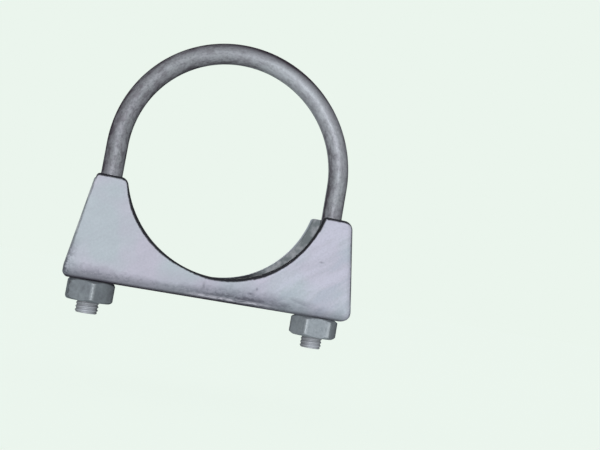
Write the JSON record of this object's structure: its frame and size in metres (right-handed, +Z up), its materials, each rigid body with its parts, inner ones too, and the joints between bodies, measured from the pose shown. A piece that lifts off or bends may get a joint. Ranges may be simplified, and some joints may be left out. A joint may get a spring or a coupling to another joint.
{
  "type": "u-bolt pipe clamp",
  "caption": "Exhaust-style pipe clamp: a round bar bent to a U with threaded legs passes through a folded steel saddle with a round seat and is drawn down by hex nuts.",
  "frame": {"origin": "on the axis of the pipe as it lies in the saddle's round seat, midway between the two cheeks", "axes": "+X from the left leg to the right leg, +Y along the pipe from the front cheek to the back cheek, +Z up along the legs to the crown of the U"},
  "size_m": [0.1056, 0.02, 0.1079],
  "materials": {
    "saddle_steel": "satin zinc plate on pressed sheet steel, with a cool cast and rubbed folds",
    "bar_steel": "drawn bar with dull zinc plate and faint lengthwise marks",
    "nut_steel": "dull grey zinc plate on cold-formed hex nuts"
  },
  "bodies": {
    "saddle": {"saddle": "saddle_steel"},
    "u_bolt": {"u_bolt": "bar_steel"},
    "left_nut": {"left_nut": "nut_steel"},
    "right_nut": {"right_nut": "nut_steel"}
  },
  "joints": [
    {"name": "u_bolt_slide", "type": "slide", "parent": "saddle", "child": "u_bolt", "axis": [0, 0, -1], "range_m": [-0.0095, 0.022]},
    {"name": "left_nut_turn", "type": "hinge", "parent": "saddle", "child": "left_nut", "pos_m": [-0.04225, 0, -0.05025], "axis": [0, 0, 1], "range_deg": [-2740, 6340]},
    {"name": "right_nut_turn", "type": "hinge", "parent": "saddle", "child": "right_nut", "pos_m": [0.04225, 0, -0.05025], "axis": [0, 0, 1], "range_deg": [-2740, 6340]}
  ],
  "couplings": [
    {"joint": "left_nut_turn", "follows": "u_bolt_slide", "rad_per_m": 5026.5},
    {"joint": "right_nut_turn", "follows": "u_bolt_slide", "rad_per_m": 5026.5}
  ]
}
